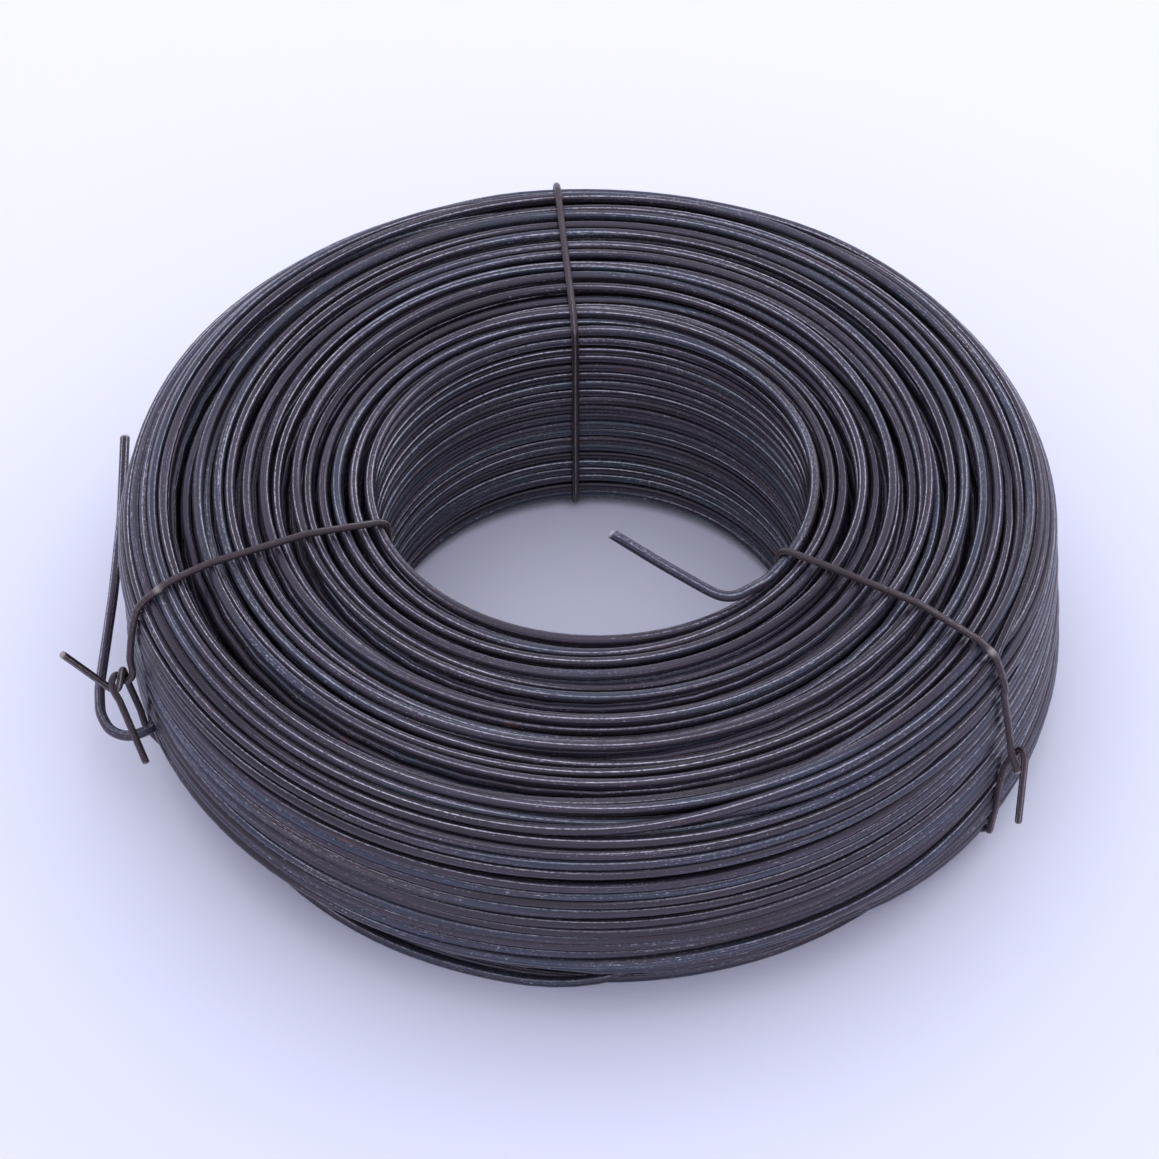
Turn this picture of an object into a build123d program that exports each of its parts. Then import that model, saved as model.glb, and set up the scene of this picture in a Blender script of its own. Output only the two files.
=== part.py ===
"""Hand coil of black annealed tie wire, lying flat, held by three thinner binding wires.

Millimetres, +Z up. The origin is on the coil's axis, at the floor.
"""

import os
from math import cos, radians, sin

from build123d import *

# Driving dimensions of the coil
wire_diameter = 1.6
coil_outer_diameter = 143.0
coil_bore_diameter = 65.0
coil_height = 41.5
upper_shoulder_radius = 9.0
lower_shoulder_radius = 12.5
turn_pitch = 2.05
turn_relief = 0.55
rim_chamfer = 1.6
floor_flat_width = 0.8
shoulder_facets = 5

# Driving dimensions of the binding wires
tie_diameter = 1.1
seat_clearance = 0.1
bed_depth = 1.7
bed_side_clearance = 0.15
tie_sides = 6
twist_lay = 4.6
twist_steps_per_turn = 6
twist_clearance = 0.05
twist_lead = 1.7
rim_bend_radius = 1.15
floor_bend_radius = 8.0
knot_bend_radius = 1.0

# Places of the binding wires round the coil, in degrees from +X, and how far up its side their twists are
back_azimuth, back_knot_share = 94.7, 0.43
left_azimuth, left_knot_share = 200.7, 0.53
right_azimuth, right_knot_share = 327.8, 0.48

# The tails of each binding wire: how far the cut tip lies outwards, sideways and up from its twist's end
back_tails = ((3.0, 5.0, 6.0), (2.0, -4.0, -7.0))
left_tails = ((4.5, -3.0, 6.5), (-3.5, 9.0, -11.5))
right_tails = ((1.0, 2.5, -10.5), (2.5, -4.0, 1.0))

# The inner end bends in over the bore, and the outer end is folded back along the left side
inner_end_azimuth, inner_bend_azimuth, inner_tip_azimuth = 318.0, 307.5, 282.2
inner_end_drop = 0.2
inner_bend_inset = 0.5
inner_end_bend_radius = 5.5
inner_tip_radius = 14.2
outer_end_azimuth, outer_fold_azimuth, outer_tip_azimuth = 203.6, 202.3, 155.6
outer_end_height = 14.2
outer_fold_reach = 9.0
outer_end_bend_radius = 4.8
outer_tip_gap = 11.2
end_root_depth = 3.0

# Sizes that follow from the driving dimensions
wire_radius = wire_diameter / 2
tie_radius = tie_diameter / 2
outer_radius = coil_outer_diameter / 2
bore_radius = coil_bore_diameter / 2
rim_crest_radius = bore_radius + wire_diameter
tie_offset = tie_radius + seat_clearance


def polar(radius, azimuth, height):
    """Point at a distance from the coil's axis, an azimuth and a height."""
    return radius * cos(radians(azimuth)), radius * sin(radians(azimuth)), height


def radial_plane(azimuth):
    """Plane whose x runs outwards from the coil's axis at an azimuth, y sideways and z up."""
    return Plane(origin=(0, 0, 0), x_dir=polar(1, azimuth, 0), z_dir=(0, 0, 1))


def end_turns(crest_height, groove_height, shoulder_radius):
    """Turns of one end of the coil, as ridges from the bore's rim out to the flat beside the shoulder."""
    shoulder_start = outer_radius - shoulder_radius
    ridged_length = shoulder_start - floor_flat_width - rim_crest_radius
    half_turns = 2 * round(ridged_length / turn_pitch)
    points = []
    for i in range(half_turns + 1):
        height = groove_height if i % 2 else crest_height
        points.append((rim_crest_radius + ridged_length * i / half_turns, height))
    return [*points, (shoulder_start, crest_height)]


def shoulder(shoulder_radius, centre_height, start_angle):
    """A rounded outer shoulder, as a chain of narrow cones."""
    step = 90 / shoulder_facets
    points = []
    for i in range(1, shoulder_facets + 1):
        angle = radians(start_angle + step * i)
        reach_out, reach_up = shoulder_radius * cos(angle), shoulder_radius * sin(angle)
        points.append((outer_radius - shoulder_radius + reach_out, centre_height + reach_up))
    return points


# The coil: one turned solid with its bore, its turns showing as ridges on both ends, and the wire's two ends
upper_shoulder_height = coil_height - upper_shoulder_radius
lower_turns = end_turns(0, turn_relief, lower_shoulder_radius)
upper_turns = end_turns(coil_height, coil_height - turn_relief, upper_shoulder_radius)
section_points = [
    (bore_radius, rim_chamfer),
    *lower_turns,
    *shoulder(lower_shoulder_radius, lower_shoulder_radius, -90),
    (outer_radius, upper_shoulder_height),
    *shoulder(upper_shoulder_radius, upper_shoulder_height, 0),
    *reversed(upper_turns[:-1]),
    (bore_radius, coil_height - rim_chamfer),
]

with BuildPart() as wire_coil:
    with BuildSketch(Plane.XZ):
        with BuildLine():
            Polyline(*section_points, close=True)
        make_face()
    revolve(axis=Axis.Z)

    # Beds pressed into the lower turns, in which the binding wires lie clear of the floor
    for azimuth in (back_azimuth, left_azimuth, right_azimuth):
        with BuildSketch(radial_plane(azimuth)):
            with Locations((outer_radius / 2, 0)):
                Rectangle(outer_radius, tie_diameter + 2 * bed_side_clearance)
        extrude(amount=bed_depth, mode=Mode.SUBTRACT)

    # Inner end, off the innermost upper turn and in over the bore
    root_height = coil_height - inner_end_drop
    with BuildLine() as inner_end:
        FilletPolyline(
            polar(bore_radius + end_root_depth, inner_end_azimuth, root_height),
            polar(bore_radius - inner_bend_inset, inner_bend_azimuth, root_height),
            polar(inner_tip_radius, inner_tip_azimuth, root_height),
            radius=inner_end_bend_radius,
        )
    with BuildSketch(Plane(origin=inner_end.line @ 0, z_dir=inner_end.line % 0)):
        Circle(wire_radius)
    sweep()

    # Outer end, out of the side, folded back and straight along the coil's left
    with BuildLine() as outer_end:
        FilletPolyline(
            polar(outer_radius - end_root_depth, outer_end_azimuth, outer_end_height),
            polar(outer_radius + outer_fold_reach, outer_fold_azimuth, outer_end_height),
            polar(outer_radius + outer_tip_gap, outer_tip_azimuth, outer_end_height),
            radius=outer_end_bend_radius,
        )
    with BuildSketch(Plane(origin=outer_end.line @ 0, z_dir=outer_end.line % 0)):
        Circle(wire_radius)
    sweep()
wire_coil.part.label = "wire_coil"


def twist_strand(knot_height, start_angle):
    """Corners of one strand of a twist that points straight out from the coil's side."""
    step = 360 / twist_steps_per_turn
    reach = (tie_radius + twist_clearance) / cos(radians(step / 2))
    points = []
    for i in range(twist_steps_per_turn + 1):
        angle = radians(start_angle + step * i)
        outwards = outer_radius + tie_offset + twist_lead + twist_lay * i / twist_steps_per_turn
        points.append(Vector(outwards, reach * cos(angle), knot_height + reach * sin(angle)))
    return points


def tie_route(knot_height, tails):
    """Corners of a binding wire from one cut tip round the coil's section to the other, with their bends."""
    side = outer_radius + tie_offset
    bore_side = bore_radius - tie_offset
    top = coil_height + tie_offset
    bottom = tie_radius + seat_clearance
    upper_strand = twist_strand(knot_height, 90)
    lower_strand = twist_strand(knot_height, 270)
    upper_tail = upper_strand[-1] + Vector(tails[0])
    lower_tail = lower_strand[-1] + Vector(tails[1])
    upper_run = [upper_tail, *reversed(upper_strand)]
    lower_run = [*lower_strand, lower_tail]
    loop = [
        Vector(side, 0, upper_strand[0].Z),
        Vector(side, 0, top),
        Vector(bore_side, 0, top),
        Vector(bore_side, 0, bottom),
        Vector(side, 0, bottom),
        Vector(side, 0, lower_strand[0].Z),
    ]
    loop_bends = [
        knot_bend_radius,
        upper_shoulder_radius + tie_offset,
        rim_chamfer + tie_offset,
        rim_bend_radius,
        floor_bend_radius,
        knot_bend_radius,
    ]
    twist_bends = [0] * len(upper_strand)
    points = [tuple(point) for point in (*upper_run, *loop, *lower_run)]
    return points, [*twist_bends, *loop_bends, *twist_bends]


def bound_tie(knot_share, tails):
    """A binding wire in the plane of +X, before it is turned to its place round the coil."""
    points, bends = tie_route(coil_height * knot_share, tails)
    with BuildPart() as tie:
        with BuildLine() as route:
            FilletPolyline(*points, radius=bends)
        with BuildSketch(Plane(origin=route.line @ 0, z_dir=route.line % 0)):
            RegularPolygon(tie_radius, tie_sides)
        sweep(transition=Transition.RIGHT)
    return tie.part


back_shape = bound_tie(back_knot_share, back_tails)
left_shape = bound_tie(left_knot_share, left_tails)
right_shape = bound_tie(right_knot_share, right_tails)

with BuildPart() as tie_back:
    add(back_shape, rotation=(0, 0, back_azimuth))
tie_back.part.label = "tie_back"

with BuildPart() as tie_left:
    add(left_shape, rotation=(0, 0, left_azimuth))
tie_left.part.label = "tie_left"

with BuildPart() as tie_right:
    add(right_shape, rotation=(0, 0, right_azimuth))
tie_right.part.label = "tie_right"

os.makedirs("parts", exist_ok=True)
export_step(wire_coil.part, "parts/wire_coil.step")
export_step(tie_back.part, "parts/tie_back.step")
export_step(tie_left.part, "parts/tie_left.step")
export_step(tie_right.part, "parts/tie_right.step")
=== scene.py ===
"""Looks of a hand coil of black annealed tie wire: its turns, its two cut ends and three binding wires.

Lengths are in millimetres and become metres where a mesh is made. +Z is up, and the coil's axis is Z.
"""

from math import cos, pi, radians, sin, sqrt, tan

import bpy
import numpy as np
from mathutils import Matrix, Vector


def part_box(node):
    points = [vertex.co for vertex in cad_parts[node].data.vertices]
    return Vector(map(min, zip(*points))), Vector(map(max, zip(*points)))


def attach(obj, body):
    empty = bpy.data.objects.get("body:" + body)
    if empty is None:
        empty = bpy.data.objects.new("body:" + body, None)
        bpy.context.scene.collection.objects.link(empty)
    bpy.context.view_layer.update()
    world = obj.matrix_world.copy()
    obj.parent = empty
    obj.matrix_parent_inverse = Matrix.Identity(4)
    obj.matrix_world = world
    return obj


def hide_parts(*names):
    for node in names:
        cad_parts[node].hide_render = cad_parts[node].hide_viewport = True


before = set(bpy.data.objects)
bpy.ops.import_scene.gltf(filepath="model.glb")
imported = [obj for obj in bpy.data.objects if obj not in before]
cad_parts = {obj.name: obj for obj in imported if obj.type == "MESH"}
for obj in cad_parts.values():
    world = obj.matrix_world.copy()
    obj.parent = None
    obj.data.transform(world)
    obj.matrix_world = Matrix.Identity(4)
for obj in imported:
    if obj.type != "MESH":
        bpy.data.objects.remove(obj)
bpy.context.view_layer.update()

MM = 0.001
SEED = 7

# Sizes of the coil, as in the part's source
outer_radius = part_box("wire_coil")[1].y / MM
coil_height = 41.5
bore_radius = 32.5
upper_shoulder_radius = 9.0
lower_shoulder_radius = 12.5
wire_diameter = 1.6
wire_radius = wire_diameter / 2
middle_radius = (outer_radius + bore_radius) / 2

# The winding: upright layers from the bore outwards, then layers that wrap the shoulders and the side, from
# and to angles in degrees. The numbers of turns in a layer vary by up to the spread
upright_layers = 13
upright_pitch = 2.27
wrapped_layers = 5
wrapped_pitch = 1.65
wrap_top, wrap_bottom, wrap_points = 85, -88, 30
turn_pitch = 1.74
count_spread = 0.3
crossing_turns = 0.35
stations = 120
winding_start = 316.0
winding_end = 192.0
outer_end_height = 14.2

# The bore's rims are rounded at the back and square at the front. The first turn, at the inner end, stands
# up to the top, and the first turns lie level for most of the way round and step down beside that end
rim_drop = 2.2
rim_width = 4.5
square_azimuth = 270.0
first_rise = 0.4
first_drop_turns = 0.45
level_share = 0.9
level_turns = 8

# The lower shoulder is fuller on one side of the coil than on the other, and the upper one leaner at the
# back. On the right the whole side leans out at the bottom and in at the top, by up to the slump
fullest_azimuth = 330.0
fullness = 0.145
slump_azimuth = 0.0
slump = 1.2
leanest_azimuth = 85.0
leanness = 0.165

# How loosely turns lie, by the bore and further out, over how many stations that changes, and how far
# they keep inside the coil's shape
bore_looseness, added_looseness, looseness_rise = 0.10, 0.45, 3
drift_run = 34
slack_spread, slack_middle = 0.1, -0.2

# Settling: the passes, after how many of them near turns are listed again, how near those are in wire
# diameters, the shares of an overlap and of a bend that a pass takes away, and how far turns sink in it
settle_passes, settle_relist = 90, 10
clear_passes, clear_relist = 24, 6
near_diameters = 1.5
push_share = 0.32
stiffness_share = 0.35
sink = 0.004
tiny = 1e-6

# How far round the coil a binding wire's squeeze and lift reach, in degrees, and the turns' clearance over it
squeeze_spread, lift_spread = 9.0, 14.0
tie_clearance = 0.1

# At the front two of the lowest outer turns have dropped to the floor and left a gap above them: the middle
# and half width of that stretch in degrees, the slopes of the lower shoulder between which turns have
# dropped and their greatest depth, and how far the other turns are drawn in at slopes of the shoulder
sag_azimuth, sag_half_width, sag_end_rise = 268.0, 60.0, 1.6
drop_slope, drop_end, drop_spread = 56.0, 72.0, 3.0
drop_depth, drop_depth_spread = 1.3, 0.4
sag_slopes = (0, 3, 8, 20, 42, 56)
sag_shifts = (0.0, -0.5, -2.6, -5.3, -7.0, -7.5)
sag_depth, sag_depth_rise = 3.6, 1.3

# The cut ends of the coil's wire, placed from the photograph
inner_end = ((3.0, -13.8, 41.6), (10.0, -19.7, 41.6), (15.7, -24.1, 41.5), (18.0, -25.7, 41.4),
             (19.7, -26.3, 41.4), (21.4, -25.7, 41.3), (23.0, -24.3, 41.2))
outer_end = ((-65.2, -27.6, 14.0), (-67.5, -28.9, 13.9), (-69.2, -29.5, 13.8), (-72.0, -28.2, 13.8),
             (-73.7, -24.8, 13.8), (-74.3, -19.8, 13.8), (-74.2, -13.7, 13.8), (-74.0, -1.2, 13.8),
             (-74.2, 16.0, 13.8), (-75.3, 34.2, 13.8))

# Binding wires: azimuth in degrees, how far their pull squeezes the coil, how far they bow sideways at
# angles round the coil's section from its side over the top, and the two runs of the knot from where they
# leave the coil's side to their cut tips, each point as far out from the coil's axis, sideways and up
tie_diameter = 1.1
tie_radius = tie_diameter / 2
ties = {
    "tie_back": {
        "azimuth": 94.7,
        "squeeze": 0.45,
        "bow": ((9, 0.0), (74, 0.6), (150, 0.0)),
        "upper": ((72.3, 0.0, 24.0), (72.6, 0.5, 21.6), (73.3, 0.8, 20.6), (74.0, 0.1, 20.1),
                  (74.6, -0.6, 20.6), (75.2, -0.2, 21.3), (76.0, 2.0, 23.5), (77.5, 5.5, 27.0)),
        "lower": ((72.4, 0.0, 16.5), (73.2, -0.4, 19.6), (73.7, -0.5, 21.0), (74.2, 0.3, 21.5),
                  (74.8, 0.7, 20.4), (75.4, 0.0, 19.4), (76.0, -2.0, 16.5), (76.5, -4.5, 12.5)),
    },
    "tie_left": {
        "azimuth": 200.7,
        "squeeze": 0.15,
        "bow": ((9, 0.0), (58, 0.2), (66, -0.7), (88, -2.2), (118, -1.6), (150, 0.0)),
        "upper": ((71.8, 0.0, 33.0), (72.3, 0.0, 30.0), (72.7, 0.0, 27.0), (72.6, 0.4, 24.8),
                  (72.8, 0.9, 24.0), (73.4, 0.8, 23.5), (73.9, 0.1, 22.7), (74.4, -0.6, 23.3),
                  (75.1, -0.5, 24.1), (75.9, 0.1, 23.4), (75.9, 0.7, 22.0), (75.3, 1.4, 20.4),
                  (73.4, 6.0, 10.5)),
        "lower": ((71.8, 0.6, 12.5), (72.2, 0.5, 16.0), (73.3, 0.0, 21.6), (73.6, -0.7, 23.4),
                  (73.9, -0.3, 25.0), (74.4, 0.6, 24.8), (74.8, 0.9, 23.2), (75.2, 0.6, 21.9),
                  (76.0, 0.1, 21.7), (82.2, -1.5, 30.2)),
    },
    "tie_right": {
        "azimuth": 327.8,
        "squeeze": 0.9,
        "bow": ((9, 0.0), (39, -0.8), (58, 0.6), (74, 2.1), (132, 1.0), (150, 0.0)),
        "upper": ((70.4, -0.5, 33.5), (71.3, -0.2, 28.5), (72.0, 0.0, 24.2), (72.5, -0.3, 22.3),
                  (74.2, -0.9, 19.3)),
        "lower": ((71.2, -1.5, 4.4), (71.7, -1.3, 10.8), (71.6, -0.7, 15.0), (71.7, 0.1, 18.0),
                  (72.4, 0.7, 20.2), (73.3, 0.9, 22.0), (74.2, 0.5, 22.7), (74.7, 0.1, 21.6),
                  (75.0, 0.0, 7.6)),
    },
}

# A binding wire lies on the turns within some degrees of it, in arcs drawn at a step in radians
beside_tie = 4
arc_step = 0.15

# The bend over the shoulder at which a binding wire is worn bright, as far out and up, and the worn length
worn_bend = (67.4, 40.5)
worn_length, worn_strength = 0.5, 0.9

# Cut tips: the length of the chamfer and of the bare steel, the chamfer's share of the wire's width, and how
# the cutter has pinched the coil's two ends
end_tip, tie_tip, bare_length = 0.15, 0.12, 0.5
tip_share = 0.82
pinch_reach, pinch_widening = 2.2, 0.25
inner_pinch_share, outer_pinch_share = 0.45, 0.1

# Meshes: corners round a wire, the step and smoothing of given lines, the pieces that the turns are cut
# into, and the depth to which turns show. Stations deeper than that are thinned out
turn_sides, end_sides, tie_sides = 10, 16, 12
end_step, end_smoothing = 0.5, 4
tie_step, tie_smoothing = 0.25, 3
turn_pieces = 11
shown_depth = 2.4
hidden_step = 3

# Baking maps, as shares of the map: rows of turns are narrow where less than a share of them shows
shown_share, hidden_row_share = 0.15, 0.12
rows_top_share, row_margin_share = 0.975, 0.04
end_row_shares = (0.02, 0.95)
tie_rows, tie_rows_share, tie_margin_share = 4, 0.97, 0.01
cap_share, first_cap_place, last_cap_place = 0.006, (0.99, 0.99), (0.96, 0.99)

# Camera of the photograph
photo_pixels = 1159
camera_field = 18.0
camera_elevation = 47.91
camera_distance = 576.3
axis_foot_pixel = (591.6, 654.2)
sensor_width = 36

# The floor lies just under the coil
floor_size, floor_drop = 12, 0.00002


def linear(hex_colour):
    """Linear RGBA of an sRGB hex colour."""
    channels = [int(hex_colour[i:i + 2], 16) / 255 for i in (1, 3, 5)]
    return (*(c / 12.92 if c <= 0.04045 else ((c + 0.055) / 1.055) ** 2.4 for c in channels), 1)


def ease(share):
    """Smooth rise from 0 to 1."""
    share = np.clip(share, 0, 1)
    return share * share * (3 - 2 * share)


# The winding

def upright_path(layer):
    """Section of an upright layer, from its top turn to its bottom turn."""
    radius = bore_radius + wire_radius + upright_pitch * layer
    inwards = max(1 - upright_pitch * layer / rim_width, 0)
    rounding = rim_drop * (1 - sqrt(1 - inwards * inwards))
    top, bottom = coil_height - wire_radius - rounding, wire_radius + rounding
    over_shoulder = radius - (outer_radius - lower_shoulder_radius)
    if over_shoulder > 0:
        reach = lower_shoulder_radius - wire_radius - wrapped_layers * wrapped_pitch
        bottom = lower_shoulder_radius - sqrt(max(reach ** 2 - over_shoulder ** 2, 0))
    return np.array([(radius, top), (radius, bottom)])


def wrapped_path(depth):
    """Section of a layer at a depth under the shoulders and the side, from its top turn to its bottom one."""
    upper = np.radians(np.linspace(wrap_top, 0, wrap_points))
    lower = np.radians(np.linspace(0, wrap_bottom, wrap_points))
    lower_depth = max(depth - wrapped_pitch, 0)
    upper_reach = upper_shoulder_radius - wire_radius - depth
    lower_reach = lower_shoulder_radius - wire_radius - lower_depth
    upper_points = np.stack([outer_radius - upper_shoulder_radius + upper_reach * np.cos(upper),
                             coil_height - upper_shoulder_radius + upper_reach * np.sin(upper)], axis=1)
    lower_points = np.stack([outer_radius - lower_shoulder_radius + lower_reach * np.cos(lower),
                             lower_shoulder_radius + lower_reach * np.sin(lower)], axis=1)
    step_out = (outer_radius - wire_radius - depth, lower_shoulder_radius + 2 * wrapped_pitch)
    return np.concatenate([upper_points, [step_out], lower_points])


def layer_paths():
    """Section of each layer in the order of winding, from its first turn to its last."""
    paths = []
    for layer in range(upright_layers):
        path = upright_path(layer)
        paths.append(path[::-1] if layer % 2 else path)
    for layer in range(wrapped_layers):
        path = wrapped_path(wrapped_pitch * (wrapped_layers - 1 - layer))
        paths.append(path[::-1] if layer % 2 else path)
    paths[-1] = paths[-1][paths[-1][:, 1] > outer_end_height]
    return paths


def lay_turns(draw):
    """Radius and height of the wire's centre at each station along it."""
    radius_runs, height_runs = [], []
    laid = 0
    paths = layer_paths()
    before = paths[0][0]
    for path in paths:
        steps = np.hypot(*np.diff(path, axis=0).T)
        travelled = np.concatenate([[0], np.cumsum(steps)])
        count = round(stations * (travelled[-1] / turn_pitch + draw.uniform(-count_spread, count_spread)))
        if path is paths[-1]:
            end_station = round((winding_end - winding_start) % 360 / 360 * stations)
            count -= (laid + count - end_station) % stations
        along = np.arange(count)
        at = travelled[-1] * along / count
        crossing = ease(along / (crossing_turns * stations))
        radius_runs.append(before[0] + (np.interp(at, travelled, path[:, 0]) - before[0]) * crossing)
        height_runs.append(before[1] + (np.interp(at, travelled, path[:, 1]) - before[1]) * crossing)
        before = path[-1]
        laid += count
    return np.concatenate(radius_runs), np.concatenate(height_runs)


def square_rims(radius, height, azimuth):
    """Stretches the turns beside the bore to square rims at the front, and lifts the first turn."""
    inwards = np.clip(1 - (radius - bore_radius - wire_radius) / rim_width, 0, 1)
    rounding = rim_drop * (1 - np.sqrt(1 - inwards * inwards))
    square = (1 + np.cos(np.radians(azimuth - square_azimuth))) / 2
    half_height = coil_height / 2 - wire_radius
    stretch = 1 + square * rounding / (half_height - rounding)
    height = coil_height / 2 + (height - coil_height / 2) * stretch
    turns = np.arange(len(height)) / stations
    share = turns % 1
    step_down = 1 - ease((share - level_share) / (1 - level_share))
    level = turn_pitch * share * step_down * (1 - ease(turns / level_turns))
    rise = (first_rise + rim_drop * (1 - square)) * (1 - ease(turns / first_drop_turns))
    return height + level + rise


def drift(draw, count, run, size):
    """A slow random offset along the wire, of about size, which changes over a run of stations."""
    kernel = np.hanning(2 * run + 1)
    kernel /= np.sqrt((kernel * kernel).sum())
    return size * np.convolve(draw.normal(size=count + 2 * run), kernel, "same")[run:run + count]


def near_pairs(radius, height, reach):
    """Stations of different turns that lie near each other in the same section of the coil."""
    first, second = [], []
    for s in range(stations):
        r, z = radius[s::stations], height[s::stations]
        near = (r[:, None] - r) ** 2 + (z[:, None] - z) ** 2 < reach * reach
        a, b = np.nonzero(np.triu(near, 1))
        first.append(a * stations + s)
        second.append(b * stations + s)
    return np.concatenate(first), np.concatenate(second)


def tie_pull(azimuth, spread, pulls):
    """The pull of the nearest binding wire, which fades to 0 beside it."""
    pull = np.zeros_like(azimuth)
    for tie, size in zip(ties.values(), pulls):
        apart = (azimuth - tie["azimuth"] + 180) % 360 - 180
        pull = np.maximum(pull, size * np.exp(-(apart / spread) ** 2))
    return pull


def shoulder_offsets(radius, height):
    """How far a place lies out and up from the axis of the nearer shoulder's rounding."""
    upper = height > coil_height / 2
    out = radius - outer_radius + np.where(upper, upper_shoulder_radius, lower_shoulder_radius)
    up = np.where(upper, np.maximum(height - coil_height + upper_shoulder_radius, 0),
                  np.minimum(height - lower_shoulder_radius, 0))
    return np.maximum(out, 0), up


def sideness(out, up):
    """1 where a place of the shoulders faces sideways, and 0 where it faces up or down."""
    return out * out / np.maximum(out * out + up * up, 1e-9)


def shoulder_reach(height, azimuth, out, up):
    """How far the wire's centre can lie from the axis of the nearer shoulder's rounding."""
    full = fullness * np.cos(np.radians(azimuth - fullest_azimuth))
    lean = leanness * np.maximum(np.cos(np.radians(azimuth - leanest_azimuth)), 0) ** 2
    bulge = np.sin(2 * np.arctan2(np.abs(up), np.maximum(out, 1e-6)))
    lower = (lower_shoulder_radius - wire_radius) * (1 + full * bulge)
    upper = (upper_shoulder_radius - wire_radius) * (1 - lean * bulge)
    slumped = slump * np.maximum(np.cos(np.radians(azimuth - slump_azimuth)), 0) ** 2
    slumped = slumped * np.clip((height - coil_height / 2) / (coil_height / 4), -1, 1)
    return np.where(height > coil_height / 2, upper, lower) - slumped * sideness(out, up)


def surface_depth(radius, height, azimuth):
    """How deep the wire's centre lies inside the outermost places that it can have."""
    out, up = shoulder_offsets(radius, height)
    corner = shoulder_reach(height, azimuth, out, up) - np.hypot(out, up)
    ends = np.minimum(height, coil_height - height) - wire_radius
    return np.minimum.reduce([radius - bore_radius - wire_radius, corner, ends])


def lowest_height(azimuth):
    """Lowest place of the wire's centre: on the floor, or on a binding wire that lies between."""
    return wire_radius + tie_pull(azimuth, lift_spread, [tie_diameter + tie_clearance] * len(ties))


def push_apart(radius, height, pairs):
    """Moves turns that overlap a little way out of each other."""
    first, second = pairs
    count = len(radius)
    apart_r, apart_z = radius[first] - radius[second], height[first] - height[second]
    gap = np.maximum(np.hypot(apart_r, apart_z), tiny)
    push = push_share * np.clip(wire_diameter - gap, 0, None) / gap
    push_r, push_z = apart_r * push, apart_z * push
    radius = radius + np.bincount(first, push_r, count) - np.bincount(second, push_r, count)
    height = height + np.bincount(first, push_z, count) - np.bincount(second, push_z, count)
    return radius, height


def stiffen(values):
    """Evens out sharp bends along the wire, as its own stiffness does."""
    kernel = np.array([1, 2, 3, 2, 1]) / 9
    eased = np.convolve(np.pad(values, 2, "edge"), kernel, "valid")
    return values + stiffness_share * (eased - values)


def settle(radius, height, slack, azimuth):
    """Pushes turns that overlap apart, holds them inside the coil's shape and lets them bend smoothly."""
    squeeze = tie_pull(azimuth, squeeze_spread, [tie["squeeze"] for tie in ties.values()])
    floor = lowest_height(azimuth)
    ceiling = coil_height - wire_radius + first_rise
    for step in range(settle_passes):
        if step % settle_relist == 0:
            pairs = near_pairs(radius, height, near_diameters * wire_diameter)
        radius, height = push_apart(radius, height, pairs)
        radius, height = stiffen(radius), stiffen(height)
        # Weight, and the bore and floor that stop it
        height -= sink
        radius = np.maximum(radius, bore_radius + wire_radius)
        height = np.clip(height, floor, ceiling)
        # The coil's rounded shape, which the turns keep to within a little
        out, up = shoulder_offsets(radius, height)
        reach = shoulder_reach(height, azimuth, out, up) + slack - squeeze * sideness(out, up)
        over = np.clip(1 - reach / np.maximum(np.hypot(out, up), tiny), 0, None)
        radius -= over * out
        height -= over * up
    return radius, height


def sag(radius, height, azimuth):
    """Drops the lowest outer turns of the front to the floor, and draws in those above them."""
    out, up = shoulder_offsets(radius, height)
    slope = np.degrees(np.arctan2(-up, np.maximum(out, tiny)))
    apart = np.abs((azimuth - sag_azimuth + 180) % 360 - 180)
    around = ease(sag_end_rise * (1 - apart / sag_half_width))
    depth = surface_depth(radius, height, azimuth)
    moved = around * ease(sag_depth_rise * (1 - depth / sag_depth)) * (up < 0) * (out > 0)
    dropped = ease((slope - drop_slope) / drop_spread) * ease((drop_end - slope) / drop_spread + 1)
    dropped = dropped * moved * ease((drop_depth - depth) / drop_depth_spread)
    radius = radius + np.interp(slope, sag_slopes, sag_shifts) * (moved - dropped)
    return radius, height - (height - wire_radius) * dropped


def clear_turns(radius, height, azimuth):
    """Brings the turns that the sag has moved clear of each other, and leaves those on the floor there."""
    resting = height < wire_diameter
    rest_radius, rest_height = radius, height
    for step in range(clear_passes):
        if step % clear_relist == 0:
            pairs = near_pairs(radius, height, near_diameters * wire_diameter)
        radius, height = push_apart(radius, height, pairs)
        radius, height = stiffen(radius), stiffen(height)
        radius = np.where(resting, rest_radius, np.maximum(radius, bore_radius + wire_radius))
        height = np.clip(height, lowest_height(azimuth), coil_height - wire_radius + first_rise)
        height = np.where(resting, rest_height, height)
    return radius, height


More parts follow.
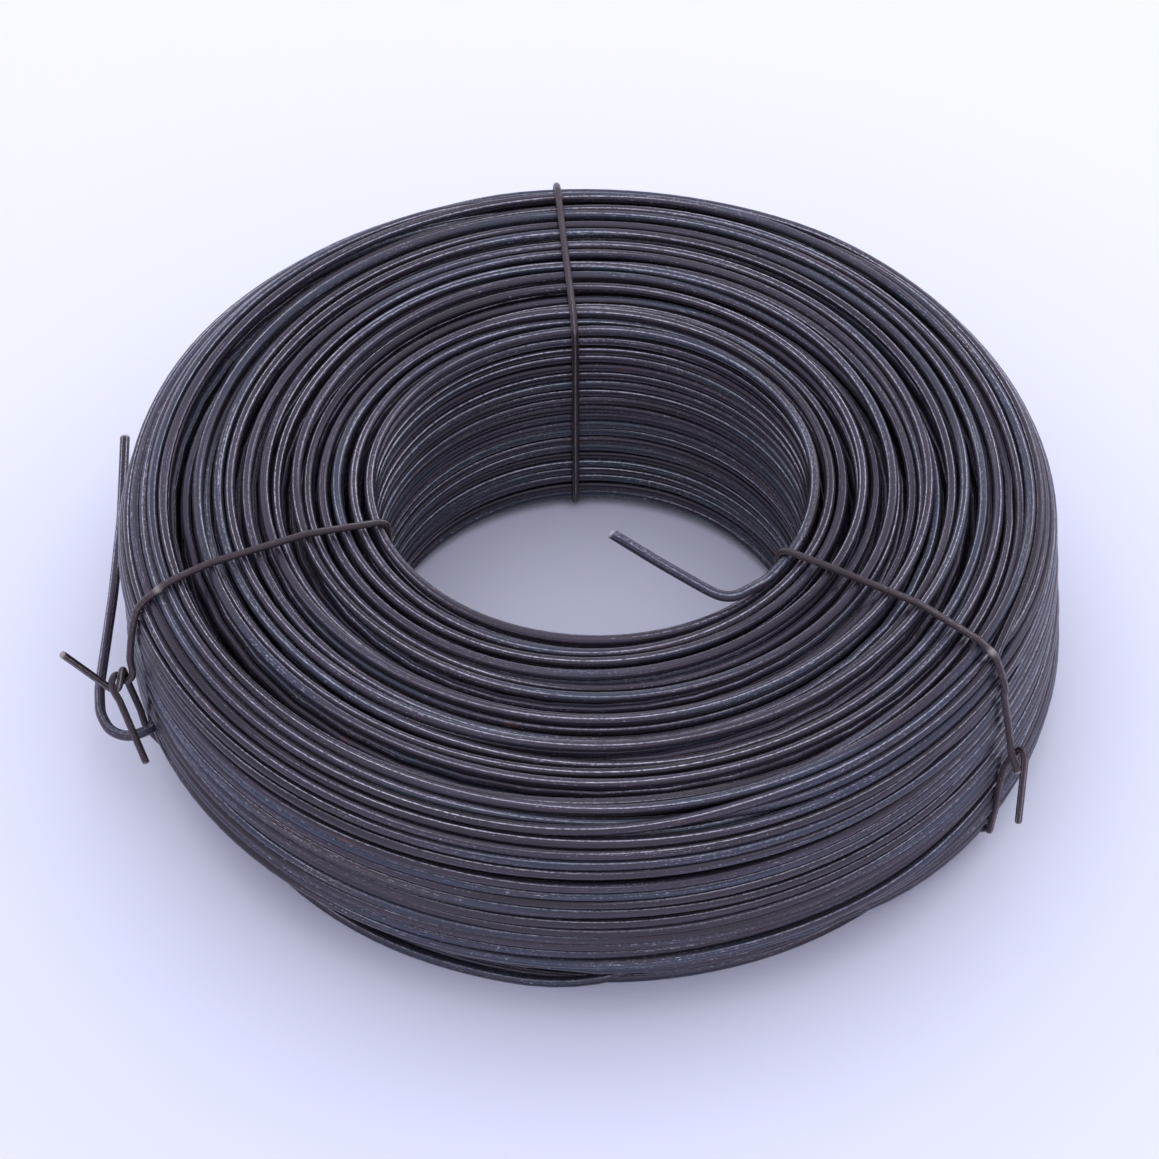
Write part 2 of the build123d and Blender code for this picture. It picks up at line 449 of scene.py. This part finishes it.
def wind_coil():
    """Azimuth, radius and height of the wire's centre at each station of the settled coil."""
    draw = np.random.default_rng(SEED)
    radius, height = lay_turns(draw)
    count = len(radius)
    azimuth = winding_start + 360 * np.arange(count) / stations
    height = square_rims(radius, height, azimuth)
    # Fuller and leaner sides of the shoulders
    out, up = shoulder_offsets(radius, height)
    plain = np.where(height > coil_height / 2, upper_shoulder_radius, lower_shoulder_radius) - wire_radius
    grow = shoulder_reach(height, azimuth, out, up) / plain
    radius = radius + (grow - 1) * out
    height = height + (grow - 1) * up
    outwards = np.clip((radius - bore_radius) / (outer_radius - bore_radius), 0, 1)
    loose = bore_looseness + added_looseness * ease(looseness_rise * outwards)
    radius = radius + loose * drift(draw, count, drift_run, 1.0)
    height = height + loose * drift(draw, count, drift_run, 1.0)
    slack = drift(draw, count, drift_run, slack_spread) + slack_middle
    radius, height = settle(radius, height, slack, azimuth)
    radius, height = sag(radius, height, azimuth)
    return azimuth, *clear_turns(radius, height, azimuth)


# Meshes of wire

def tube(name, points, side, up, wide, thick, sides, along, rows, tone, bare):
    """A wire as a mesh: rings round its points, with a map of length and angle and a map for baking.

    side and up are unit vectors across the wire, and wide and thick its half widths along them. rows gives
    each point's place in the baking map: its row's lower and upper edge, and the shares along the row at
    which the stretch from this point starts and ends. tone numbers the turn, and bare is 1 where the steel
    is cut or worn.
    """
    count = len(points)
    turn = 2 * pi * np.arange(sides) / sides
    wide, thick = (np.broadcast_to(half, (count,))[:, None, None] for half in (wide, thick))
    places = points[:, None, :] + np.cos(turn)[None, :, None] * side[:, None, :] * wide
    places = places + np.sin(turn)[None, :, None] * up[:, None, :] * thick
    a = np.arange(count - 1)[:, None] * sides + np.arange(sides)
    b = np.arange(count - 1)[:, None] * sides + (np.arange(sides) + 1) % sides
    quads = np.stack([a, b, b + sides, a + sides], axis=-1).reshape(-1, 4)
    mesh = bpy.data.meshes.new(name)
    mesh.vertices.add(count * sides)
    mesh.vertices.foreach_set("co", (places * MM).astype(np.float32).ravel())
    caps = [np.arange(sides)[::-1], np.arange(sides) + (count - 1) * sides]
    corners = np.concatenate([quads.ravel(), *caps])
    sizes = np.concatenate([np.full(len(quads), 4), [sides, sides]])
    mesh.loops.add(len(corners))
    mesh.loops.foreach_set("vertex_index", corners.astype(np.int32))
    mesh.polygons.add(len(sizes))
    mesh.polygons.foreach_set("loop_start", np.concatenate([[0], np.cumsum(sizes)[:-1]]).astype(np.int32))

    # Length along the wire in millimetres, and the angle round it as a share of a turn
    low_angle = np.broadcast_to(np.arange(sides) / sides, (count - 1, sides))
    high_angle = low_angle + 1 / sides
    start = np.broadcast_to(along[:-1, None], (count - 1, sides))
    end = np.broadcast_to(along[1:, None], (count - 1, sides))
    wire_map = np.stack([start, low_angle, start, high_angle, end, high_angle, end, low_angle], axis=-1)
    cap_map = [np.stack([np.full(sides, at), np.arange(sides) / sides], -1) for at in (along[0], along[-1])]
    flat = np.concatenate([wire_map.reshape(-1, 2), *cap_map])
    mesh.uv_layers.new(name="wire_map").data.foreach_set("uv", flat.astype(np.float32).ravel())

    # The baking map, with the two cut faces in its upper corner
    row_low, row_high, row_start, row_end = (np.broadcast_to(v[:-1, None], (count - 1, sides)) for v in rows)
    v_low = row_low + (row_high - row_low) * low_angle
    v_high = row_low + (row_high - row_low) * high_angle
    bake = np.stack([row_start, v_low, row_start, v_high, row_end, v_high, row_end, v_low], axis=-1)
    disc = cap_share * np.stack([np.cos(turn), np.sin(turn)], -1)
    flat = np.concatenate([bake.reshape(-1, 2), first_cap_place + disc[::-1], last_cap_place + disc])
    mesh.uv_layers.new(name="OFBake").data.foreach_set("uv", flat.astype(np.float32).ravel())
    for label, values in (("tone", tone), ("bare", bare)):
        attribute = mesh.attributes.new(label, "FLOAT", "POINT")
        attribute.data.foreach_set("value", np.repeat(values, sides).astype(np.float32))
    mesh.polygons.foreach_set("use_smooth", sizes == 4)
    mesh.validate()
    mesh.update(calc_edges=True)
    piece = bpy.data.objects.new(name, mesh)
    bpy.context.scene.collection.objects.link(piece)
    return piece


def across(points):
    """Unit vectors sideways and upwards across a wire that runs mostly level."""
    ahead = np.gradient(points, axis=0)
    ahead /= np.linalg.norm(ahead, axis=1, keepdims=True)
    side = np.cross(ahead, [0, 0, 1])
    side /= np.linalg.norm(side, axis=1, keepdims=True)
    return side, np.cross(side, ahead)


def carried(points):
    """Unit vectors across a wire that bends any way, carried along it without twisting."""
    ahead = np.gradient(points, axis=0)
    ahead /= np.linalg.norm(ahead, axis=1, keepdims=True)
    side = np.empty_like(points)
    now = np.cross(ahead[0], [0.3, 0.5, 0.8])
    for i, way in enumerate(ahead):
        now = now - way * now.dot(way)
        now /= np.linalg.norm(now)
        side[i] = now
    return side, np.cross(ahead, side)


def lengths_along(points):
    """Length along a line at each of its points."""
    steps = np.linalg.norm(np.diff(points, axis=0), axis=1)
    return np.concatenate([[0], np.cumsum(steps)])


def eased_line(points, step, run):
    """A line's points at an even step, smoothed over a run of steps, with its ends kept."""
    points = np.asarray(points, float)
    along = lengths_along(points)
    at = np.linspace(0, along[-1], round(along[-1] / step) + 1)
    line = np.stack([np.interp(at, along, points[:, k]) for k in range(3)], axis=1)
    kernel = np.hanning(2 * run + 3)[1:-1]
    kernel /= kernel.sum()
    padded = np.concatenate([2 * line[0] - line[run:0:-1], line, 2 * line[-1] - line[-2:-run - 2:-1]])
    return np.stack([np.convolve(padded[:, k], kernel, "valid") for k in range(3)], axis=1)


def coil_turns(points, shown):
    """The wire's turns as several pieces, with only some of the stations where neighbours hide them."""
    half_turn = stations // 2
    index = np.arange(len(points))
    kept = shown | (index % hidden_step == 0) | (index == len(points) - 1)
    rows = index // half_turn
    side, up = across(points)
    along = lengths_along(points)
    pieces = []
    groups = np.array_split(np.arange(rows[-1] + 1), turn_pieces)
    for number, group in enumerate(groups, start=1):
        first, last = group[0] * half_turn, min((group[-1] + 1) * half_turn, len(points) - 1)
        chosen = index[first:last + 1][kept[first:last + 1]]
        # Rows of the baking map, one for a half turn, narrow where the half turn is hidden
        seen = [shown[r * half_turn:(r + 1) * half_turn].mean() for r in group]
        heights = np.where(np.array(seen) > shown_share, 1, hidden_row_share)
        edges = np.concatenate([[0], np.cumsum(heights)]) / heights.sum() * rows_top_share
        row = np.clip(rows[chosen] - group[0], 0, len(group) - 1)
        margin = row_margin_share * (edges[row + 1] - edges[row])
        start = (chosen - (row + group[0]) * half_turn) / half_turn
        end = np.append(start[:-1] + np.diff(chosen) / half_turn, start[-1])
        places = (edges[row] + margin, edges[row + 1] - margin, start, np.minimum(end, 1))
        pieces.append(tube(f"coil_turns_{number:02d}", points[chosen], side[chosen], up[chosen],
                           wire_radius, wire_radius, turn_sides, along[chosen], places, chosen / stations,
                           np.zeros(len(chosen))))
    return pieces


def cut_end(name, line, pinch):
    """An end of the coil's wire up to its cut tip, at the last point, which the cutter has pinched."""
    tip_way = (line[-1] - line[-2]) / np.linalg.norm(line[-1] - line[-2])
    line = np.concatenate([line, [line[-1] + end_tip * tip_way]])
    along = lengths_along(line)
    to_tip = along[-1] - along
    near_tip = ease(1 - to_tip / (pinch_reach * wire_radius))
    chamfer = np.append(np.ones(len(line) - 1), tip_share)
    side, up = across(line)
    share = np.linspace(0, 1, len(line))
    row_low, row_high = (np.full(len(line), edge) for edge in end_row_shares)
    rows = (row_low, row_high, share, np.append(share[1:], 1))
    bare = ease(1 - to_tip / bare_length)
    wide = wire_radius * chamfer * (1 + pinch_widening * pinch * near_tip)
    thick = wire_radius * chamfer * (1 - pinch * near_tip)
    return tube(name, line, side, up, wide, thick, end_sides, along, rows, np.zeros(len(line)), bare)


def coil_pieces(azimuth, radius, height):
    """The coil's turns and its two cut ends."""
    angle = np.radians(azimuth)
    points = np.stack([radius * np.cos(angle), radius * np.sin(angle), height], axis=1)
    pieces = coil_turns(points, surface_depth(radius, height, azimuth) < shown_depth)
    # Each end's line starts on the turn that it belongs to
    inner_line = eased_line(np.concatenate([inner_end, points[1:8]]), end_step, end_smoothing)[::-1]
    outer_line = eased_line(np.concatenate([points[-6:-1], outer_end]), end_step, end_smoothing)
    pieces.append(cut_end("coil_inner_end", inner_line, inner_pinch_share))
    pieces.append(cut_end("coil_outer_end", outer_line, outer_pinch_share))
    return pieces


# Binding wires

def outline_of(points):
    """Convex outline of points in a section, anticlockwise."""
    ordered = sorted(map(tuple, points))

    def half(run):
        kept = []
        for p in run:
            while len(kept) > 1 and ((kept[-1][0] - kept[-2][0]) * (p[1] - kept[-2][1])
                                     - (kept[-1][1] - kept[-2][1]) * (p[0] - kept[-2][0])) <= 0:
                kept.pop()
            kept.append(p)
        return kept

    return np.array(half(ordered)[:-1] + half(ordered[::-1])[:-1])


def tight_loop(azimuth, coil):
    """Section of a binding wire's centre pulled tight round the coil, anticlockwise from its outer side."""
    coil_azimuth, coil_radius, coil_z = coil
    beside = np.abs((coil_azimuth - azimuth + 180) % 360 - 180) < beside_tie
    section = outline_of(np.stack([coil_radius[beside], coil_z[beside]], axis=1))
    loop = []
    for before, here, after in zip(np.roll(section, 1, axis=0), section, np.roll(section, -1, axis=0)):
        first, last = (np.arctan2(-way[0], way[1]) for way in (here - before, after - here))
        last = first + (last - first) % (2 * pi)
        for angle in np.linspace(first, last, max(2, int((last - first) / arc_step) + 1)):
            loop.append(here + (wire_radius + tie_radius) * np.array([cos(angle), sin(angle)]))
    loop = np.array(loop)
    middle = np.argmin(np.hypot(loop[:, 0] - outer_radius, loop[:, 1] - coil_height / 2))
    return np.roll(loop, -middle, axis=0)


def tie_piece(name, coil, azimuth, bow, upper, lower):
    """A binding wire pulled tight round the coil's section, with its knot and cut tails."""
    loop = tight_loop(azimuth, coil)
    on_side = loop[:, 0] > outer_radius - lower_shoulder_radius
    beside_knot = on_side & (loop[:, 1] < upper[0][2] + 1) & (loop[:, 1] > lower[0][2] - 1)
    round_section = np.degrees(np.arctan2(loop[:, 1] - coil_height / 2, loop[:, 0] - middle_radius)) % 360
    sideways = np.interp(round_section, *zip(*bow))
    body = np.stack([loop[:, 0], sideways, loop[:, 1]], axis=1)[~beside_knot]
    line = eased_line(np.concatenate([upper[::-1], body, lower]), tie_step, tie_smoothing)
    tips = []
    for tip, before in ((0, 1), (-1, -2)):
        way = line[tip] - line[before]
        tips.append(line[tip] + tie_tip * way / np.linalg.norm(way))
    line = np.concatenate([tips[:1], line, tips[1:]])
    to_worn = np.hypot(line[:, 0] - worn_bend[0], line[:, 2] - worn_bend[1])
    worn = np.argmin(to_worn)
    turn = radians(azimuth)
    spun = np.stack([line[:, 0] * cos(turn) - line[:, 1] * sin(turn),
                     line[:, 0] * sin(turn) + line[:, 1] * cos(turn), line[:, 2]], axis=1)
    spun[:, 2] = np.maximum(spun[:, 2], tie_radius)
    side, up = carried(spun)
    along = lengths_along(spun)
    to_tip = np.minimum(along, along[-1] - along)
    worn_bare = worn_strength * np.exp(-((along - along[worn]) / worn_length) ** 2)
    bare = np.maximum(ease(1 - to_tip / bare_length), worn_bare)
    radius = tie_radius * np.where(to_tip < tie_tip / 2, tip_share, 1)
    share = np.linspace(0, 1, len(spun)) * tie_rows
    row = np.minimum(share.astype(int), tie_rows - 1)
    row_low = row / tie_rows * tie_rows_share + tie_margin_share
    row_high = (row + 1) / tie_rows * tie_rows_share - tie_margin_share
    rows = (row_low, row_high, share - row, np.append(np.minimum(share[1:] - row[:-1], 1), 1))
    return tube(name + "_wire", spun, side, up, radius, radius, tie_sides, along, rows,
                np.zeros(len(spun)), bare)


# Materials

def add_node(material, kind, settings=(), **feeds):
    """Adds a shader node with its settings, and feeds its inputs with values or other nodes' outputs."""
    node = material.node_tree.nodes.new(kind)
    for name, value in dict(settings).items():
        setattr(node, name, value)
    for name, value in feeds.items():
        key = int(name[1:]) if name[0] == "i" and name[1:].isdigit() else name.replace("_", " ")
        if isinstance(value, bpy.types.NodeSocket):
            material.node_tree.links.new(value, node.inputs[key])
        else:
            node.inputs[key].default_value = value
    return node


def new_material(name):
    """An empty node material."""
    material = bpy.data.materials.new(name)
    material.use_nodes = True
    material.node_tree.nodes.clear()
    return material


def annealed_wire(name, radius, tones, steel, rust, gloss):
    """Drawn steel wire, annealed black: a thin satin scale with drawing streaks along it, and lines of grey
    steel where turns have rubbed each other, which also serve as painted highlights along the wire's upper
    edges."""
    material = new_material(name)
    wire_map = add_node(material, "ShaderNodeUVMap", {"uv_map": "wire_map"})
    flat = add_node(material, "ShaderNodeSeparateXYZ", Vector=wire_map.outputs["UV"])
    along, share = flat.outputs["X"], flat.outputs["Y"]
    turn = add_node(material, "ShaderNodeAttribute", {"attribute_name": "tone"}).outputs["Fac"]
    bare = add_node(material, "ShaderNodeAttribute", {"attribute_name": "bare"}).outputs["Fac"]
    angle = add_node(material, "ShaderNodeMath", {"operation": "MULTIPLY"}, i0=share, i1=2 * pi).outputs[0]
    out = add_node(material, "ShaderNodeMath", {"operation": "COSINE"}, i0=angle).outputs[0]
    up = add_node(material, "ShaderNodeMath", {"operation": "SINE"}, i0=angle).outputs[0]
    round_wire = add_node(material, "ShaderNodeCombineXYZ", X=along, Y=out, Z=up).outputs[0]

    # Noise along the wire: each kind's length and width in millimetres and its detail
    noises = {}
    for kind, (length, width, detail) in {
        "streak": (25, 0.16, 2),
        "grain": (0.5, 0.2, 2),
        "slow": (70, 5, 2),
        "rusting": (5, 1.2, 4),
    }.items():
        place = add_node(material, "ShaderNodeVectorMath", {"operation": "MULTIPLY"}, i0=round_wire,
                         i1=(1 / length, radius / width, radius / width)).outputs[0]
        noises[kind] = add_node(material, "ShaderNodeTexNoise", {"noise_dimensions": "4D"}, Vector=place,
                                W=turn, Scale=1.0, Detail=detail, Roughness=0.6).outputs["Fac"]
    tone = add_node(material, "ShaderNodeValToRGB", Fac=noises["slow"])
    ramp = tone.color_ramp
    while len(ramp.elements) < len(tones):
        ramp.elements.new(0.5)
    for element, (position, colour) in zip(ramp.elements, tones):
        element.position = position
        element.color = linear(colour)

    # Lines of bare steel along each wire, partly rubbed where turns touched and partly painted highlight laid
    # along the wire's upper edges where the light glints: where they lie round the wire and how far they
    # wander, as shares of its girth. Each fades out from its middle to its edge, so it looks about 0.15 mm
    # wide
    girth = 2 * pi * radius
    line_middle, line_edge, line_run = 0.02, 0.12, 90
    bare_steel_and_highlight = None
    for seat, wander in ((0.33, 0.08), (0.17, 0.09), (0.58, 0.16)):
        place = add_node(material, "ShaderNodeMath", {"operation": "MULTIPLY_ADD"}, i0=along,
                         i1=1 / line_run, i2=7.3 * seat)
        place = add_node(material, "ShaderNodeCombineXYZ", X=place.outputs[0]).outputs[0]
        wandering = add_node(material, "ShaderNodeTexNoise", {"noise_dimensions": "4D"}, Vector=place,
                             W=turn, Scale=1.0, Detail=1.0).outputs["Fac"]
        centre = add_node(material, "ShaderNodeMath", {"operation": "MULTIPLY_ADD"}, i0=wandering,
                          i1=4 * wander, i2=seat - 2 * wander).outputs[0]
        apart = add_node(material, "ShaderNodeMath", {"operation": "SUBTRACT"}, i0=share,
                         i1=centre).outputs[0]
        apart = add_node(material, "ShaderNodeMath", {"operation": "PINGPONG"}, i0=apart, i1=0.5).outputs[0]
        line = add_node(material, "ShaderNodeMapRange", Value=apart, From_Min=line_edge / girth,
                        From_Max=line_middle / girth).outputs["Result"]
        strength = add_node(material, "ShaderNodeMapRange", Value=wandering, From_Min=0.40, From_Max=0.54,
                            To_Min=0.0, To_Max=1.0).outputs["Result"]
        line = add_node(material, "ShaderNodeMath", {"operation": "MULTIPLY"}, i0=line,
                        i1=strength).outputs[0]
        if bare_steel_and_highlight is None:
            bare_steel_and_highlight = line
        else:
            bare_steel_and_highlight = add_node(material, "ShaderNodeMath", {"operation": "MAXIMUM"}, i0=bare_steel_and_highlight,
                              i1=line).outputs[0]
    speckle = add_node(material, "ShaderNodeMapRange", Value=noises["grain"], From_Min=0.35, From_Max=0.65,
                       To_Min=0.15).outputs[0]
    bare_steel_and_highlight = add_node(material, "ShaderNodeMath", {"operation": "MULTIPLY"}, i0=bare_steel_and_highlight, i1=speckle).outputs[0]

    # Flecks of bare steel along the drawing streaks
    flecked = add_node(material, "ShaderNodeMath", {"operation": "MULTIPLY"}, i0=noises["streak"],
                       i1=noises["grain"])
    flecked = add_node(material, "ShaderNodeMath", {"operation": "MULTIPLY_ADD"}, i0=noises["slow"], i1=0.3,
                       i2=flecked.outputs[0])
    flecked = add_node(material, "ShaderNodeMapRange", Value=flecked.outputs[0], From_Min=0.50, From_Max=0.60,
                       To_Max=0.6).outputs["Result"]
    bare_steel_and_highlight = add_node(material, "ShaderNodeMath", {"operation": "MAXIMUM"}, i0=bare_steel_and_highlight, i1=flecked).outputs[0]
    bare_steel_and_highlight = add_node(material, "ShaderNodeMath", {"operation": "MAXIMUM"}, i0=bare_steel_and_highlight, i1=bare).outputs[0]

    # Colour: the scale's slow change of tone, its streaks, spots of rust, and the rubbed steel with its
    # painted highlight lines
    streaked = add_node(material, "ShaderNodeMapRange", Value=noises["streak"], From_Min=0.3, From_Max=0.7,
                        To_Min=0.65, To_Max=1.35).outputs["Result"]
    colour = add_node(material, "ShaderNodeMix", {"data_type": "RGBA", "blend_type": "MULTIPLY"}, i0=1.0,
                      i6=tone.outputs["Color"], i7=streaked).outputs[2]
    rusted = add_node(material, "ShaderNodeMapRange", Value=noises["rusting"], From_Min=0.67, From_Max=0.77,
                      To_Max=0.6).outputs["Result"]
    colour = add_node(material, "ShaderNodeMix", {"data_type": "RGBA"}, i0=rusted, i6=colour,
                      i7=linear(rust)).outputs[2]
    colour = add_node(material, "ShaderNodeMix", {"data_type": "RGBA"}, i0=bare_steel_and_highlight, i6=colour,
                      i7=linear(steel)).outputs[2]

    # Shine: the scale is partly metal and glossier on some stretches, and the rubbed steel and painted
    # highlight lines are rougher
    metal = add_node(material, "ShaderNodeMapRange", Value=bare_steel_and_highlight, To_Min=0.35, To_Max=1.0).outputs["Result"]
    dull = add_node(material, "ShaderNodeMapRange", Value=noises["slow"], From_Min=0.35, From_Max=0.65,
                    To_Min=gloss - 0.07, To_Max=gloss + 0.07).outputs["Result"]
    rough = add_node(material, "ShaderNodeMath", {"operation": "MULTIPLY_ADD"}, i0=noises["streak"], i1=0.3,
                     i2=-0.15).outputs[0]
    rough = add_node(material, "ShaderNodeMath", {"operation": "ADD"}, i0=dull, i1=rough).outputs[0]
    rough = add_node(material, "ShaderNodeMath", {"operation": "MULTIPLY_ADD"}, i0=bare_steel_and_highlight, i1=0.28,
                     i2=rough).outputs[0]
    relief = add_node(material, "ShaderNodeMath", {"operation": "MULTIPLY_ADD"}, i0=noises["grain"],
                      i1=0.5, i2=noises["streak"]).outputs[0]
    bump = add_node(material, "ShaderNodeBump", Strength=0.6, Distance=0.03 * MM, Height=relief)
    shader = add_node(material, "ShaderNodeBsdfPrincipled", Base_Color=colour, Metallic=metal,
                      Roughness=rough, Normal=bump.outputs["Normal"])
    add_node(material, "ShaderNodeOutputMaterial", Surface=shader.outputs["BSDF"])
    return material


# Stage

def studio():
    """Pale floor, soft light all round and the photograph's camera."""
    scene = bpy.context.scene
    bpy.ops.mesh.primitive_plane_add(size=floor_size, location=(0, 0, -floor_drop))
    floor = bpy.context.object
    floor.name = "floor"
    paper = new_material("pale_paper")
    shader = add_node(paper, "ShaderNodeBsdfDiffuse", Color=linear("#F1F2FD"))
    add_node(paper, "ShaderNodeOutputMaterial", Surface=shader.outputs["BSDF"])
    floor.data.materials.append(paper)

    world = bpy.data.worlds.new("light_tent")
    scene.world = world
    world.use_nodes = True
    world.node_tree.nodes.clear()
    tent = add_node(world, "ShaderNodeBackground", Color=linear("#E0E2FC"), Strength=0.98)
    add_node(world, "ShaderNodeOutputWorld", Surface=tent.outputs[0])

    for name, place, size, energy in (
        ("overhead_softbox", (0.0, 0.0, 1.0), (1.0, 1.0), 2.0),
        ("high_back_softbox", (0.0, 0.9, 0.95), (2.4, 0.9), 1.0),
        ("front_softbox", (0.0, -1.0, 0.6), (2.4, 1.6), 2.2),
        ("back_softbox", (0.0, 1.0, 0.42), (1.2, 0.05), 1.3),
        ("left_softbox", (-0.85, 0.6, 0.40), (1.0, 0.05), 0.7),
        ("right_softbox", (0.85, 0.6, 0.42), (1.0, 0.06), 1.6),
    ):
        lamp = bpy.data.lights.new(name, "AREA")
        lamp.shape = "RECTANGLE"
        lamp.size, lamp.size_y = size
        lamp.energy = energy
        softbox = bpy.data.objects.new(name, lamp)
        softbox.location = place
        softbox.rotation_euler = (-softbox.location).to_track_quat("-Z", "Y").to_euler()
        scene.collection.objects.link(softbox)

    lens = bpy.data.cameras.new("camera")
    lens.sensor_width = sensor_width
    lens.lens = sensor_width / 2 / tan(radians(camera_field / 2))
    camera = bpy.data.objects.new("camera", lens)
    tilt = radians(camera_elevation)
    back_way = Vector((0, -cos(tilt), sin(tilt)))
    up_way = Vector((0, sin(tilt), cos(tilt)))
    pixel = 2 * camera_distance * tan(radians(camera_field / 2)) / photo_pixels
    aim_right = (photo_pixels / 2 - axis_foot_pixel[0]) * pixel
    aim_up = (axis_foot_pixel[1] - photo_pixels / 2) * pixel
    camera.location = back_way * camera_distance * MM
    aim = (Vector((aim_right, 0, 0)) + up_way * aim_up) * MM
    camera.rotation_euler = (aim - camera.location).to_track_quat("-Z", "Y").to_euler()
    lens.clip_start, lens.clip_end = 0.01, 50
    scene.collection.objects.link(camera)
    scene.camera = camera
    scene.view_settings.view_transform = "Standard"


coil = wind_coil()
coil_material = annealed_wire(
    "annealed_steel_wire", wire_radius,
    ((0.30, "#29242A"), (0.41, "#352E36"), (0.51, "#3F3742"), (0.60, "#3A3F4C"), (0.70, "#473B3F")),
    "#D2D0DA", "#7A4A33", 0.27)
tie_material = annealed_wire(
    "annealed_binding_wire", tie_radius,
    ((0.30, "#33292C"), (0.5, "#3D3135"), (0.7, "#473B3F")),
    "#B0A8A2", "#6A4230", 0.42)
for piece in coil_pieces(*coil):
    piece.data.materials.append(coil_material)
    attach(piece, "root")
    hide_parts("wire_coil")
for node, tie in ties.items():
    piece = tie_piece(node, coil, tie["azimuth"], tie["bow"], tie["upper"], tie["lower"])
    piece.data.materials.append(tie_material)
    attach(piece, "root")
    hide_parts(node)
studio()
